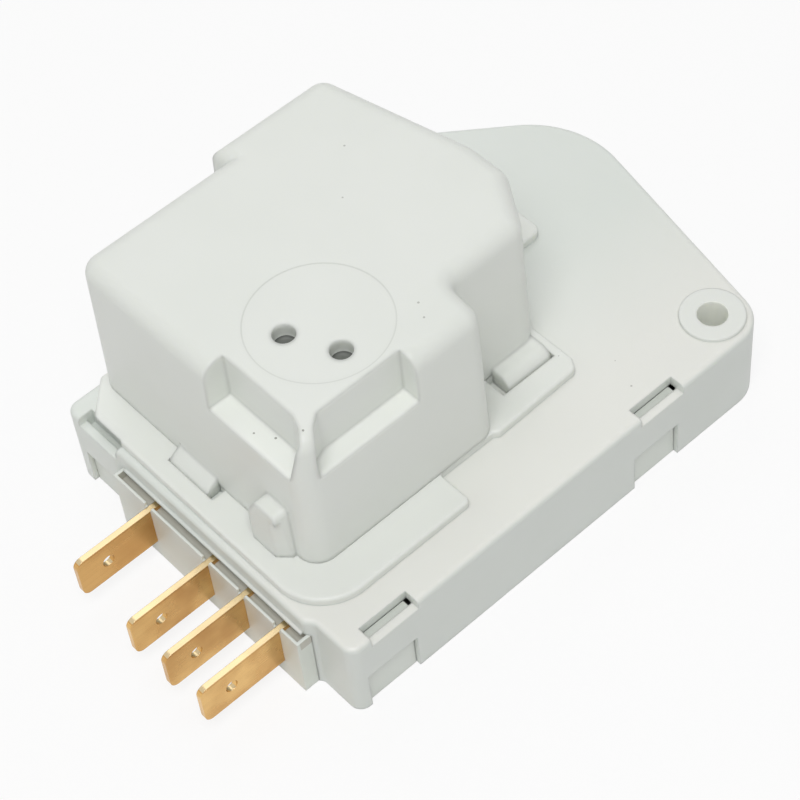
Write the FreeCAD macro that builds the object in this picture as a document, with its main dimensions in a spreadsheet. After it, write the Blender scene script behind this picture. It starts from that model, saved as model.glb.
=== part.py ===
import FreeCAD, Part
import math
import os
import Sketcher
from FreeCAD import Placement, Rotation, Vector

# Defrost timer: a moulded gear housing with its closing cover and terminal
# block, a synchronous motor under a white cap, a reduction train on steel pins,
# a cam with a hand-advance shaft, and three leaf blades riveted to brass tabs.
#
# Plan measures are taken from the front corner of the housing: X runs along the
# long side away from the tabs, Y along the tab side, Z up from the underside.
# Every piece is then placed so that the origin is the foot of the screw hole.

doc = FreeCAD.newDocument("DefrostTimer")
sheet = doc.addObject("Spreadsheet::Sheet", "Sizes")

SIZES = [
    # housing outline, seen from above
    ("ear_x", 64.6, "front corner to screw hole, along the long side"),
    ("ear_y", 5.14, "long side to screw hole, also the ear's corner radius"),
    ("nose_x", 62.0, "front corner to cam axis, along the long side"),
    ("nose_y", 35.6, "long side to cam axis"),
    ("nose_radius", 14.05, "rounded end of the housing, about the cam axis"),
    ("nose_turn", 51.0, "degrees: direction of the slanted back edge's normal"),
    ("back_near", 51.9, "long side to back edge beside the tabs"),
    ("back_far", 54.6, "long side to back edge behind the motor"),
    ("back_step", 26.6, "front corner to the step in the back edge"),
    ("tab_edge", -0.9, "plate edge above the terminal block"),
    ("corner_edge", -1.3, "plate edge at the left corner"),
    ("corner_start", 42.4, "where the left corner's wall begins"),
    ("front_round", 1.6, "upright rounding of the front corner"),
    # housing heights and walls
    ("plate_top", 12.75, "top of the flat plate"),
    ("plate_thick", 1.5, "plate thickness"),
    ("wall", 1.5, "housing side wall"),
    ("edge_round", 0.7, "rounding of the plate's outer edge"),
    ("pad_round", 0.35, "rounding of the raised platform's edge"),
    ("inner_left", 1.2, "inside of the housing along the tab side"),
    ("pad_rise", 1.2, "height of the raised platform under the motor cover"),
    ("screw_radius", 1.95, "screw hole"),
    ("boss_radius", 4.5, "column round the screw hole"),
    ("ring_radius", 4.2, "raised ring round the screw hole"),
    ("ring_rise", 0.4, "height of that ring"),
    # snap slots and windows
    ("slot_length", 7.2, "snap slot along the edge"),
    ("slot_near", 3.1, "front corner to the first slot"),
    ("slot_far", 46.9, "front corner to the second slot"),
    ("slot_tab", 42.0, "long side to the slot on the tab side"),
    ("slot_rim", 1.2, "width of the strip outside a slot"),
    ("slot_width", 1.0, "open width of a slot"),
    ("slot_sink", 1.35, "strip below the plate top"),
    ("window_near", 2.0, "front corner to the first snap window"),
    ("window_far", 45.7, "front corner to the second snap window"),
    ("window_length", 7.6, "snap window along the edge"),
    ("window_height", 6.0, "snap window height"),
    ("window_recess", 0.65, "snap arm behind the wall face"),
    ("window_tab", 43.4, "long side to the snap window on the tab side"),
    ("window_tab_length", 5.8, "that window along the edge"),
    ("arm_top", 11.3, "height of the snap arms seen in the slots"),
    ("arm_play", 0.5, "snap arm short of its slot, at each end"),
    # closing cover and terminal block
    ("base_thick", 1.5, "closing cover"),
    ("seat_gap", 0.1, "play between closing cover and housing walls"),
    ("block_face", -2.47, "terminal block face"),
    ("block_start", 6.9, "long side to the near end of the block"),
    ("block_end", 41.3, "long side to the far end of the block"),
    ("block_top", 9.95, "terminal block height"),
    ("block_depth", 4.2, "terminal block, front to back"),
    ("block_lip", 0.35, "lip along the top of the block's face"),
    ("groove_depth", 1.3, "groove behind that lip"),
    ("ledge_reach", 0.4, "thin ledge along the housing, above the groove"),
    ("ledge_rise", 0.35, "thickness of that ledge"),
    # motor cover
    ("cover_top", 36.0, "top of the motor cover"),
    ("cover_wall", 1.5, "motor cover wall"),
    ("cover_draft", 1.5, "degrees: slope of the motor cover's walls"),
    ("cover_round", 2.2, "rounding of the motor cover's top edge"),
    ("scoop_floor", 29.1, "height of the two corner ledges"),
    ("peep_radius", 1.43, "round recesses in the motor cover"),
    ("peep_depth", 2.2, "depth of those recesses"),
    ("mark_radius", 8.8, "very shallow round field on the motor cover"),
    ("mark_depth", 0.03, "depth of that field"),
    ("boss_top", 22.3, "top of the small boss on the cover's tab side"),
    # tabs and blades
    ("tab_width", 6.3, "tab, up and down"),
    ("tab_thick", 0.8, "tab thickness"),
    ("tab_foot", 3.03, "underside of the tabs"),
    ("tab_reach", 11.95, "tabs 2 to 4, block face to tip"),
    ("tab_reach_first", 11.35, "tab 1, block face to tip"),
    ("tab_inside", 9.5, "tab, block face to inner end"),
    ("tab_hole", 0.85, "radius of the hole in each tab"),
    ("tab_hole_back", 4.3, "tab tip to that hole"),
    ("tab_first", 34.2, "long side to tab 1"),
    ("tab_second", 23.2, "long side to tab 2"),
    ("tab_third", 16.65, "long side to tab 3"),
    ("tab_fourth", 10.2, "long side to tab 4"),
    ("blade_thick", 0.3, "leaf blade thickness"),
    ("blade_foot", 4.6, "underside of the leaf blades"),
    ("blade_height", 4.2, "leaf blade, up and down"),
    ("cam_gap", 0.3, "blade tip clear of the cam"),
    ("contact_radius", 1.1, "contact rivet head"),
    # motor
    ("rotor_x", 28.5, "front corner to rotor axis"),
    ("rotor_y", 33.5, "long side to rotor axis"),
    ("stator_radius", 15.0, "motor body"),
    ("stator_top", 30.0, "top of the motor body"),
    ("steel", 0.8, "stator sheet"),
    ("pole_radius", 6.2, "inside of the stator poles"),
    ("air_gap", 0.3, "rotor to poles"),
    ("hub_radius", 2.6, "rotor hub, inside the magnet"),
    # gear train
    ("pin_radius", 0.35, "axle pins"),
    ("bore_play", 0.05, "running play of every bore, on the radius"),
    ("fine_module", 0.25, "module of the fine gears"),
    ("final_module", 0.3, "module of the last pair"),
    ("pinion_teeth", 8, "teeth of each fine pinion"),
    ("wheel_teeth", 64, "teeth of gears 1 to 4"),
    ("fifth_teeth", 60, "teeth of gear 5"),
    ("final_pinion_teeth", 16, "teeth of gear 5's pinion"),
    ("cam_gear_teeth", 75, "teeth of the cam gear"),
    ("second_pin_x", 41.5, "front corner to the pin of gears 2 and 4"),
    ("second_pin_y", 36.0, "long side to that pin"),
    ("wheel_thick", 0.8, "gear wheel thickness"),
    # cam
    ("cam_radius", 9.0, "high part of the cam"),
    ("cam_drop", 1.8, "depth of the cam's notch"),
    ("cam_foot", 4.35, "underside of the cam"),
    ("cam_height", 4.6, "cam thickness"),
    ("shaft_radius", 3.5, "hand-advance shaft"),
    ("shaft_play", 0.08, "its play in the closing cover"),
    ("shaft_recess", 0.3, "shaft end above the underside"),
    ("ratchet_radius", 5.0, "ratchet under the cam"),
    ("ratchet_teeth", 24, "ratchet teeth"),
]

for row, (alias, value, note) in enumerate(SIZES, start=1):
    sheet.set(f"A{row}", note)
    sheet.set(f"B{row}", str(value))
    sheet.setAlias(f"B{row}", alias)
doc.recompute()


def size(alias):
    """The value of one named cell of the sheet."""
    return float(getattr(sheet, alias))


def crossing(first, first_reach, second, second_reach):
    """The point at the two given distances from two axes, on the back side."""
    dx, dy = second[0] - first[0], second[1] - first[1]
    gap = math.hypot(dx, dy)
    along = (gap**2 + first_reach**2 - second_reach**2) / (2 * gap)
    aside = math.sqrt(first_reach**2 - along**2)
    return (first[0] + (along * dx - aside * dy) / gap, first[1] + (along * dy + aside * dx) / gap)


# places that follow from the driving sizes
cam_axis = (size("nose_x"), size("nose_y"))
rotor_axis = (size("rotor_x"), size("rotor_y"))
fine, final = size("fine_module"), size("final_module")
pinion_teeth, wheel_teeth = int(size("pinion_teeth")), int(size("wheel_teeth"))
fifth_teeth = int(size("fifth_teeth"))
final_pinion_teeth, cam_gear_teeth = int(size("final_pinion_teeth")), int(size("cam_gear_teeth"))
mesh_reach = fine * (pinion_teeth + wheel_teeth) / 2
fifth_reach = fine * (pinion_teeth + fifth_teeth) / 2
final_reach = final * (final_pinion_teeth + cam_gear_teeth) / 2
second_pin = (size("second_pin_x"), size("second_pin_y"))
first_pin = crossing(rotor_axis, mesh_reach, second_pin, mesh_reach)
third_pin = crossing(second_pin, fifth_reach, cam_axis, final_reach)

# heights of the gear layers, from the closing cover up
layer_gap = 0.2
wheel_thick = size("wheel_thick")
cam_gear_foot = size("base_thick") + 0.1
cam_gear_thick = 1.4
fifth_wheel_foot = cam_gear_foot + cam_gear_thick + 0.1
fourth_wheel_foot = fifth_wheel_foot + wheel_thick + 0.9
third_wheel_foot = fourth_wheel_foot + 2 * wheel_thick
second_wheel_foot = third_wheel_foot + 2 * wheel_thick
first_wheel_foot = second_wheel_foot + 2 * wheel_thick

FOLLOWING = [
    ("pad_top", size("plate_top") + size("pad_rise"), "top of the raised platform"),
    ("plate_under", size("plate_top") - size("plate_thick"), "underside of the plate"),
    ("first_pin_x", first_pin[0], "pin of gears 1 and 3"),
    ("first_pin_y", first_pin[1], "the same, the other way"),
    ("third_pin_x", third_pin[0], "pin of gear 5"),
    ("third_pin_y", third_pin[1], "the same, the other way"),
    ("cam_gear_foot", cam_gear_foot, "underside of the cam gear"),
    ("cam_gear_thick", cam_gear_thick, "thickness of the cam gear"),
    ("fifth_wheel_foot", fifth_wheel_foot, "underside of gear 5's wheel"),
    ("fourth_pinion_foot", fifth_wheel_foot - layer_gap, "underside of gear 4"),
    ("fourth_wheel_foot", fourth_wheel_foot, "underside of gear 4's wheel"),
    ("third_pinion_foot", fourth_wheel_foot - layer_gap, "underside of gear 3"),
    ("third_wheel_foot", third_wheel_foot, "underside of gear 3's wheel"),
    ("second_pinion_foot", third_wheel_foot - layer_gap, "underside of gear 2"),
    ("second_wheel_foot", second_wheel_foot, "underside of gear 2's wheel"),
    ("first_pinion_foot", second_wheel_foot - layer_gap, "underside of gear 1"),
    ("first_wheel_foot", first_wheel_foot, "underside of gear 1's wheel"),
    ("rotor_pinion_foot", first_wheel_foot - layer_gap, "underside of the rotor pinion"),
    ("bore_radius", size("pin_radius") + size("bore_play"), "running bore of every gear"),
]
for row, (alias, value, note) in enumerate(FOLLOWING, start=len(SIZES) + 3):
    sheet.set(f"A{row}", note)
    sheet.set(f"B{row}", repr(value))
    sheet.setAlias(f"B{row}", alias)
doc.recompute()

pieces = []


ROTOR = ("Sizes.rotor_x", "Sizes.rotor_y")
CAM = ("Sizes.nose_x", "Sizes.nose_y")
FIRST_PIN = ("Sizes.first_pin_x", "Sizes.first_pin_y")
SECOND_PIN = ("Sizes.second_pin_x", "Sizes.second_pin_y")
THIRD_PIN = ("Sizes.third_pin_x", "Sizes.third_pin_y")
EAR = ("Sizes.ear_x", "Sizes.ear_y")


def place(piece, name, axis=None):
    """Name a piece and move it so that the screw hole's foot is the origin."""
    x, y = axis or ("0", "0")
    piece.Label = name
    piece.setExpression("Placement.Base.x", f"{x} - Sizes.ear_x")
    piece.setExpression("Placement.Base.y", f"{y} - Sizes.ear_y")
    pieces.append(piece)
    return piece


def body(name, axis=None):
    """An empty body; with an axis, it is drawn about that axis."""
    return place(doc.addObject("PartDesign::Body", name + "_body"), name, axis)


def sketch(owner, height="0", role="XY_Plane"):
    """A sketch on one of the body's own planes, raised by an expression."""
    made = owner.newObject("Sketcher::SketchObject", owner.Label + "_sketch")
    origin_planes = [f for f in owner.Origin.OriginFeatures if f.Role == role]
    made.AttachmentSupport = [(origin_planes[0], "")]
    made.MapMode = "FlatFace"
    if height != "0":
        made.setExpression("AttachmentOffset.Base.z", str(height))
    return made


def loop(points, radii=None):
    """Lines through the points, with a tangent arc at each rounded corner."""
    count = len(points)
    radii = radii or [0.0] * count
    starts, ends, arcs = [], [], []
    for i in range(count):
        here, radius = Vector(*points[i], 0), radii[i]
        before, after = Vector(*points[i - 1], 0), Vector(*points[(i + 1) % count], 0)
        to_before, to_after = (before - here).normalize(), (after - here).normalize()
        half = to_before.getAngle(to_after) / 2
        cut = radius / math.tan(half) if radius > 0 else 0.0
        start, end = here + to_before * cut, here + to_after * cut
        arc = None
        if radius > 0:
            middle_way = (to_before + to_after).normalize()
            middle = here + middle_way * (radius / math.sin(half) - radius)
            arc = Part.Arc(start, middle, end)
        starts.append(start)
        ends.append(end)
        arcs.append(arc)
    edges = []
    for i in range(count):
        if arcs[i]:
            edges.append(arcs[i])
        following = starts[(i + 1) % count]
        if ends[i].distanceToPoint(following) > 1e-6:
            edges.append(Part.LineSegment(ends[i], following))
    return edges


def box_loop(low_x, low_y, high_x, high_y):
    return loop([(low_x, low_y), (high_x, low_y), (high_x, high_y), (low_x, high_y)])


def circle(drawing, centre, radius):
    """A circle whose place and radius follow expressions; no centre means the origin."""
    index = drawing.addGeometry(Part.Circle(Vector(1, 1, 0), Vector(0, 0, 1), 1), False)
    if centre:
        for kind, value in zip(("DistanceX", "DistanceY"), centre):
            number = drawing.addConstraint(Sketcher.Constraint(kind, -1, 1, index, 3, 1.0))
            drawing.setExpression(f"Constraints[{number}]", str(value))
    else:
        drawing.addConstraint(Sketcher.Constraint("Coincident", index, 3, -1, 1))
    number = drawing.addConstraint(Sketcher.Constraint("Radius", index, 1.0))
    drawing.setExpression(f"Constraints[{number}]", str(radius))


def pad(owner, drawing, length, draft=None):
    feature = owner.newObject("PartDesign::Pad", owner.Label + "_pad")
    feature.Profile = drawing
    feature.setExpression("Length", str(length))
    if draft:
        feature.setExpression("TaperAngle", draft)
    return feature


def pocket(owner, drawing, length, upwards=True, draft=None):
    """A pocket from the sketch, up into the solid or down into it."""
    doc.recompute()
    before = owner.Shape.Volume
    feature = owner.newObject("PartDesign::Pocket", owner.Label + "_pocket")
    feature.Profile = drawing
    feature.setExpression("Length", str(length))
    feature.Reversed = upwards
    if draft:
        feature.setExpression("TaperAngle", draft)
    doc.recompute()
    if owner.Shape.Volume >= before - 1e-6:
        raise RuntimeError(f"{owner.Label}: a pocket cut nothing")
    return feature


def drawn(owner, edges, height="0", role="XY_Plane"):
    made = sketch(owner, height, role)
    made.addGeometry(edges, False)
    return made


def padded(owner, edges, length, height="0", draft=None):
    return pad(owner, drawn(owner, edges, height), length, draft)


def cut(owner, edges, length, height="0", draft=None):
    return pocket(owner, drawn(owner, edges, height), length, True, draft)


def disc(owner, centre, radius, height, length):
    """A round pad about an axis given by two expressions."""
    drawing = sketch(owner, height)
    circle(drawing, centre, radius)
    return pad(owner, drawing, length)


def bore(owner, centre, radius, height, length):
    drawing = sketch(owner, height)
    circle(drawing, centre, radius)
    return pocket(owner, drawing, length)


def round_edges(owner, radius, wanted):
    """Fillet the edges of the newest feature that the test picks."""
    doc.recompute()
    tip = owner.Tip
    names = [f"Edge{i}" for i, edge in enumerate(tip.Shape.Edges, start=1) if wanted(edge)]
    feature = owner.newObject("PartDesign::Fillet", owner.Label + "_fillet")
    feature.Base = (tip, names)
    feature.setExpression("Radius", str(radius))
    doc.recompute()
    return feature


def lies_at(edge, height, slack=1e-4):
    box = edge.BoundBox
    return abs(box.ZMin - height) < slack and abs(box.ZMax - height) < slack


def inset(points, distance):
    """The same polygon with every side moved inwards (points run counter-clockwise)."""
    count = len(points)
    moved = []
    for i in range(count):
        ax, ay = points[i - 1]
        bx, by = points[i]
        cx, cy = points[(i + 1) % count]
        first, second = math.hypot(bx - ax, by - ay), math.hypot(cx - bx, cy - by)
        n1 = (-(by - ay) / first, (bx - ax) / first)
        n2 = (-(cy - by) / second, (cx - bx) / second)
        scale = distance / (1 + n1[0] * n2[0] + n1[1] * n2[1])
        moved.append((bx + (n1[0] + n2[0]) * scale, by + (n1[1] + n2[1]) * scale))
    return moved


def tooth_loop(centre, teeth, module, tip_share, root_share, turn=0.0):
    """A gear's outline: straight flanks between root and tip circles."""
    pitch = teeth * module / 2
    tip, root = pitch + 0.9 * module, pitch - 1.2 * module
    step = 2 * math.pi / teeth
    points = []
    for tooth in range(teeth):
        middle = turn + tooth * step
        for radius, share in ((root, -root_share), (tip, -tip_share), (tip, tip_share), (root, root_share)):
            angle = middle + share * step / 2
            points.append((centre[0] + radius * math.cos(angle), centre[1] + radius * math.sin(angle)))
    return loop(points)


PINION_SHARES = (0.25, 0.45)
WHEEL_SHARES = (0.22, 0.62)


def facing(centre, other):
    return math.atan2(other[1] - centre[1], other[0] - centre[0])


# outline of the housing: a circle at the ear, a circle at the nose, and the
# straight edges that touch them
ear = (size("ear_x"), size("ear_y"))
nose_r, ear_r = size("nose_radius"), size("ear_y")


def outer_corner(line_one, line_two):
    """Where two lines meet, each given as (normal angle, distance)."""
    (a, p), (b, q) = line_one, line_two
    det = math.cos(a) * math.sin(b) - math.sin(a) * math.cos(b)
    return ((p * math.sin(b) - q * math.sin(a)) / det, (q * math.cos(a) - p * math.cos(b)) / det)


def housing_outline():
    """Corner points and corner radii, counter-clockwise from the front corner."""
    span = math.hypot(cam_axis[0] - ear[0], cam_axis[1] - ear[1])
    heading = facing(ear, cam_axis)
    side_angle = heading - math.acos((ear_r - nose_r) / span)
    side = (side_angle, ear[0] * math.cos(side_angle) + ear[1] * math.sin(side_angle) + ear_r)
    slant_angle = math.radians(size("nose_turn"))
    reach = cam_axis[0] * math.cos(slant_angle) + cam_axis[1] * math.sin(slant_angle) + nose_r
    slant = (slant_angle, reach)
    long_side = (math.radians(-90), 0.0)
    back = (math.radians(90), size("back_far"))
    front_step = size("block_start")
    corners = [
        ((0.0, 0.0), size("front_round")),
        (outer_corner(long_side, side), ear_r),
        (outer_corner(side, slant), nose_r),
        (outer_corner(slant, back), 3.0),
        ((size("back_step"), size("back_far")), 1.0),
        ((size("back_step"), size("back_near")), 1.0),
        ((size("corner_edge"), size("back_near")), 1.6),
        ((size("corner_edge"), size("corner_start")), 1.2),
        ((size("tab_edge"), size("corner_start") - 1.0), 1.2),
        ((size("tab_edge"), front_step + 0.6), 1.0),
        ((0.0, front_step - 0.6), 1.0),
    ]
    return [c[0] for c in corners], [c[1] for c in corners]


outline, outline_radii = housing_outline()


def inner_outline(distance):
    """The inside of the housing walls, a plain line along the tab side."""
    left = size("inner_left") - size("wall")
    points = [(left, 0.0)] + outline[1:6] + [(left, outline[6][1])]
    radii = [0.5, max(ear_r - distance, 0.5), nose_r - distance, 2.0, 0.5, 0.5, 0.5]
    return inset(points, distance), radii


# the cover's footprint on the platform, counter-clockwise from its front corner
COVER_CORNERS = [
    ((4.25, 10.7), 3.0),
    ((33.2, 10.7), 2.8),
    ((33.9, 17.1), 1.0),
    ((45.4, 17.1), 3.0),
    ((50.5, 25.2), 4.0),
    ((50.5, 31.5), 8.0),
    ((45.6, 53.9), 3.0),
    ((26.9, 53.9), 0.0),
    ((26.9, 51.5), 0.0),
    ((4.25, 51.5), 3.0),
]
PLATFORM_CORNERS = [
    ((0.0, 5.5), 7.0),
    ((23.9, 5.5), 0.8),
    ((23.9, 10.8), 0.4),
    ((32.4, 10.8), 0.3),
    ((33.2, 10.3), 0.6),
    ((46.3, 10.7), 1.2),
    ((47.2, 12.2), 0.8),
    ((47.2, 19.2), 1.0),
    ((51.6, 26.2), 1.0),
    ((51.6, 29.8), 0.5),
    ((59.4, 29.8), 1.5),
    ((59.4, 37.6), 1.5),
    ((50.7, 37.6), 0.5),
    ((47.0, 54.2), 0.8),
    ((27.3, 54.2), 0.5),
    ((27.3, 51.6), 0.5),
    ((4.4, 51.6), 0.8),
    ((0.0, 47.2), 1.2),
]

# gear housing
plate_top, wall = size("plate_top"), size("wall")
housing = body("gear_housing")
padded(housing, loop(outline, outline_radii), "Sizes.plate_top")
round_edges(housing, "Sizes.edge_round", lambda edge: lies_at(edge, plate_top))
cut(housing, loop(*inner_outline(wall)), "Sizes.plate_under")
padded(housing, loop([c[0] for c in PLATFORM_CORNERS], [c[1] for c in PLATFORM_CORNERS]),
       "Sizes.pad_rise + Sizes.edge_round", "Sizes.plate_top - Sizes.edge_round")
round_edges(housing, "Sizes.pad_round", lambda edge: lies_at(edge, size("pad_top")))
disc(housing, EAR, "Sizes.boss_radius", "0", "Sizes.plate_under")
disc(housing, EAR, "Sizes.ring_radius", "Sizes.plate_top", "Sizes.ring_rise")
bore(housing, EAR, "Sizes.screw_radius", "0", "Sizes.plate_top + Sizes.ring_rise")
block_low, block_high = size("block_start") - 0.05, size("block_end") + 0.05
cut(housing, box_loop(-6.0, block_low, size("inner_left") + 0.01, block_high), "Sizes.block_top + 0.05")
ledge_low = size("tab_edge") - size("ledge_reach")
padded(housing, box_loop(ledge_low, block_low + 0.8, size("tab_edge") + 0.4, block_high - 0.6),
       "Sizes.ledge_rise", "Sizes.block_top + 0.1")
for start in (size("window_near"), size("window_far")):
    cut(housing, box_loop(start, -1.0, start + size("window_length"), wall + 0.01), "Sizes.window_height")
window_tab = size("window_tab")
window_tab_end = window_tab + size("window_tab_length")
cut(housing, box_loop(-4.0, window_tab, size("inner_left") + 0.01, window_tab_end), "Sizes.window_height")

slot_rim, slot_width, slot_length = size("slot_rim"), size("slot_width"), size("slot_length")
slot_inner = slot_rim + slot_width
for start in (size("slot_near"), size("slot_far")):
    strip = loop([(start, -1.0), (start + slot_length, -1.0), (start + slot_length, slot_inner),
                  (start, slot_inner)], [0.0, 0.0, 0.6, 0.6])
    cut(housing, strip, "Sizes.slot_sink + 1", "Sizes.plate_top - Sizes.slot_sink")
    cut(housing, box_loop(start, slot_rim, start + slot_length, slot_inner),
        "Sizes.slot_sink + Sizes.plate_thick + 2", "Sizes.plate_under - 1")
slot_tab, corner_edge = size("slot_tab"), size("corner_edge")
strip = box_loop(-4.0, slot_tab, corner_edge + slot_inner, slot_tab + slot_length)
cut(housing, strip, "Sizes.slot_sink + 1", "Sizes.plate_top - Sizes.slot_sink")
cut(housing, box_loop(corner_edge + slot_rim, slot_tab, corner_edge + slot_inner, slot_tab + slot_length),
    "Sizes.slot_sink + Sizes.plate_thick", "Sizes.plate_under - 1")

# pockets for the motor cover's lugs
LUG_RIGHT = (37.3, 13.9, 45.9, 17.1)
LUG_LEFT = (2.3, 27.2, 4.4, 35.6)
for pocket_box in (LUG_RIGHT, LUG_LEFT):
    cut(housing, box_loop(*pocket_box), "Sizes.pad_rise + 1", "Sizes.plate_top - 0.2")

# openings and bearings in the plate
bore(housing, ROTOR, "3", "Sizes.plate_under - 0.5", "Sizes.plate_thick + Sizes.pad_rise + 1")
LEAD_X = 8.7
for alias in ("tab_first", "tab_third"):
    middle = (str(LEAD_X), f"Sizes.{alias} + Sizes.tab_thick / 2")
    bore(housing, middle, "1.2", "Sizes.plate_under - 0.5", "Sizes.plate_thick + Sizes.pad_rise + 1")
for pin in (FIRST_PIN, SECOND_PIN):
    bore(housing, pin, "Sizes.pin_radius", "Sizes.plate_under - 0.2", "1.2")
disc(housing, CAM, "3.9", "Sizes.plate_under - 2", "2.1")
bore(housing, CAM, "2.5 + Sizes.shaft_play", "Sizes.plate_under - 2.1", "2.1")

# closing cover with the terminal block
base = body("base_cover")
padded(base, loop(*inner_outline(wall + size("seat_gap"))), "Sizes.base_thick")
block_face = size("block_face")
block_back = block_face + size("block_depth")
padded(base, box_loop(block_face, size("block_start"), block_back, size("block_end")), "Sizes.block_top")
cut(base, box_loop(block_face + size("block_lip"), size("block_start") + 0.4, size("tab_edge") + 0.2,
                   size("block_end") - 0.4), "Sizes.groove_depth", "Sizes.block_top - Sizes.groove_depth")
bore(base, EAR, "Sizes.boss_radius + Sizes.seat_gap", "0", "Sizes.base_thick")
bore(base, CAM, "Sizes.shaft_radius + Sizes.shaft_play", "0", "Sizes.base_thick")
for start in (size("window_near"), size("window_far")):
    low, high = start + 0.1, start + size("window_length") - 0.1
    recess = size("window_recess")
    padded(base, box_loop(low, recess, high, wall + 1.0), "Sizes.base_thick")
    padded(base, box_loop(low, recess, high, wall - 0.05), "Sizes.window_height - 0.1")
seat = wall + size("seat_gap")
for start in (size("slot_near"), size("slot_far")):
    low, high = start + size("arm_play"), start + slot_length - size("arm_play")
    padded(base, box_loop(low, seat, high, slot_inner - 0.05), "Sizes.arm_top")
    padded(base, box_loop(low, slot_rim + 0.05, high, slot_inner - 0.05), "0.95", "Sizes.arm_top - 0.95")
low, high = window_tab + 0.1, window_tab_end - 0.1
padded(base, box_loop(corner_edge + recess, low, size("inner_left") + 1.0, high), "Sizes.base_thick")
padded(base, box_loop(corner_edge + recess, low, size("inner_left") - 0.05, high), "Sizes.window_height - 0.1")
disc(base, FIRST_PIN, "1.2", "0", "Sizes.third_pinion_foot - 0.3")
disc(base, SECOND_PIN, "1.2", "0", "Sizes.fourth_pinion_foot - 0.2")
disc(base, ROTOR, "1.5", "0", "Sizes.third_wheel_foot - 1")
for pin in (FIRST_PIN, SECOND_PIN, THIRD_PIN, ROTOR):
    bore(base, pin, "Sizes.pin_radius", "Sizes.base_thick / 3", "8")


def side_sketch(owner, edges, place_y, height="0"):
    """A sketch standing across Y at the given place, drawn in X and Z."""
    drawing = drawn(owner, edges, "0", "XZ_Plane")
    drawing.setExpression("AttachmentOffset.Base.z", f"-({place_y})")
    return drawing


# tabs, and their slots in the block
tab_foot, tab_width = size("tab_foot"), size("tab_width")
tab_top = tab_foot + tab_width
inside_end = block_face + size("tab_inside")
rivet_x = inside_end - 2.2
TABS = [("terminal_1", "tab_first", "tab_reach_first"), ("terminal_2", "tab_second", "tab_reach"),
        ("terminal_3", "tab_third", "tab_reach"), ("terminal_4", "tab_fourth", "tab_reach")]
for name, alias, reach_alias in TABS:
    low_y = size(alias)
    high_y = low_y + size("tab_thick")
    drawing = side_sketch(base, box_loop(block_face - 1, tab_foot, block_back + 1, tab_top), f"Sizes.{alias}")
    slot = pocket(base, drawing, "Sizes.tab_thick", False)
    cut(base, box_loop(block_face - 1, low_y - 0.25, block_face + 1.3, high_y + 0.25),
        "2", "Sizes.tab_foot + Sizes.tab_width")
    tip = block_face - size(reach_alias)
    tab = body(name)
    profile = loop(
        [(tip, tab_foot), (block_back, tab_foot), (block_back + 0.8, tab_foot + 1.1), (inside_end, tab_foot + 1.1),
         (inside_end, tab_top - 0.9), (block_back + 0.8, tab_top - 0.9), (block_back, tab_top), (tip, tab_top)],
        [1.1, 0, 0, 0.4, 0.4, 0, 0, 1.1])
    drawing = side_sketch(tab, profile, f"Sizes.{alias}")
    circle(drawing, (f"Sizes.block_face - Sizes.{reach_alias} + Sizes.tab_hole_back",
                     "Sizes.tab_foot + Sizes.tab_width / 2"), "Sizes.tab_hole")
    if name != "terminal_1":
        circle(drawing, (str(rivet_x), "Sizes.tab_foot + Sizes.tab_width / 2 + 0.1"), "0.6")
    plate = pad(tab, drawing, "Sizes.tab_thick")
    plate.Reversed = True

# leaf blades, drawn as bent strips seen from above
blade = size("blade_thick")
tip_reach = size("cam_radius") + size("cam_gap") + blade / 2


def cam_side(degrees, reach=tip_reach):
    angle = math.radians(degrees)
    return (cam_axis[0] + reach * math.cos(angle), cam_axis[1] + reach * math.sin(angle))


def strip_loop(points, thickness):
    """The outline of a bent strip about its middle line."""
    left, right = [], []
    count = len(points)
    for i in range(count):
        before, after = points[max(i - 1, 0)], points[min(i + 1, count - 1)]
        here = points[i]
        into = math.atan2(here[1] - before[1], here[0] - before[0]) if i else None
        out = math.atan2(after[1] - here[1], after[0] - here[0]) if i < count - 1 else None
        into = out if into is None else into
        out = into if out is None else out
        middle = (into + out) / 2
        reach = thickness / 2 / math.cos((out - into) / 2)
        left.append((here[0] - reach * math.sin(middle), here[1] + reach * math.cos(middle)))
        right.append((here[0] + reach * math.sin(middle), here[1] - reach * math.cos(middle)))
    return loop(right + left[::-1])


heater_y = cam_axis[1] - tip_reach - 0.95
common_y = heater_y - 1.7
compressor_y = common_y - 1.6
contact_x = cam_axis[0] - 8.0
BLADES = [
    ("heater_blade", "tab_second", heater_y, -90.0, 12.0),
    ("common_blade", "tab_third", common_y, -75.0, 17.0),
    ("compressor_blade", "tab_fourth", compressor_y, -58.0, 22.0),
]
contact_height = "Sizes.blade_foot + Sizes.blade_height / 2"
for name, alias, straight_y, tip_angle, bend_x in BLADES:
    root_y = size(alias) + size("tab_thick") + blade / 2
    tip = cam_side(tip_angle)
    knee = (tip[0] - 2.2 - (tip[1] - straight_y) * 0.6, straight_y)
    points = [(block_back + 0.9, root_y), (inside_end - 0.6, root_y), (bend_x, straight_y), knee,
              (tip[0] - 0.7, tip[1] - 0.3), tip]
    strip = body(name)
    padded(strip, strip_loop(points, blade), "Sizes.blade_height", "Sizes.blade_foot")
    for x in (rivet_x, contact_x):
        drawing = sketch(strip, "0", "XZ_Plane")
        radius = "0.6" if x == rivet_x else "0.5"
        height = "Sizes.tab_foot + Sizes.tab_width / 2 + 0.1" if x == rivet_x else contact_height
        circle(drawing, (str(x), height), radius)
        doc.recompute()
        before = strip.Shape.Volume
        hole = strip.newObject("PartDesign::Pocket", name + "_hole")
        hole.Profile = drawing
        hole.Type = 1
        doc.recompute()
        if strip.Shape.Volume >= before - 1e-6:
            raise RuntimeError(f"{name}: a hole cut nothing")


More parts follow.
